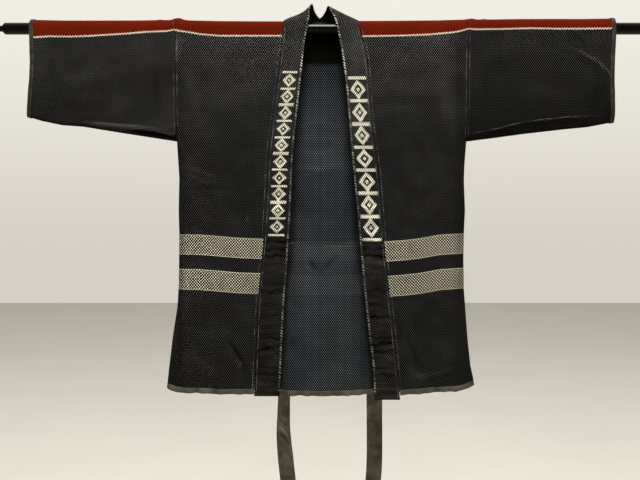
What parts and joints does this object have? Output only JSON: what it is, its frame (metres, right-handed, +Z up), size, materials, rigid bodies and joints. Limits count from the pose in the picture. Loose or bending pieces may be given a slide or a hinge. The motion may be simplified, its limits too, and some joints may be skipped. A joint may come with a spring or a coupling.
{
  "type": "japanese fireman coat on a hanging rod",
  "caption": "Open-fronted quilted cotton coat with straight sleeves, a long collar band and hanging ties, spread flat on a straight hanging rod.",
  "frame": {"origin": "on the rod's axis at the coat's middle, above the centre back", "axes": "+X along the rod towards the wearer's left, -Y out of the coat's front, +Z up"},
  "size_m": [1.416, 0.0749, 1.1598],
  "materials": {
    "sashiko_cloth": "dark navy-black rice-grain weave, matt",
    "band_cloth": "the same cloth folded double, matt",
    "binding_cloth": "olive-grey plain cotton tape, matt",
    "tie_cloth": "olive-grey plain cotton, matt",
    "rod_finish": "black satin paint"
  },
  "bodies": {
    "root": {"body_right": "sashiko_cloth", "body_left": "sashiko_cloth", "sleeve_right": "sashiko_cloth", "sleeve_left": "sashiko_cloth", "collar": "band_cloth", "cuff_binding_right": "binding_cloth", "cuff_binding_left": "binding_cloth", "hem_binding_front_right": "binding_cloth", "hem_binding_front_left": "binding_cloth", "hem_binding_back": "binding_cloth", "tie_right": "tie_cloth", "tie_left": "tie_cloth", "rod": "rod_finish"}
  },
  "joints": []
}
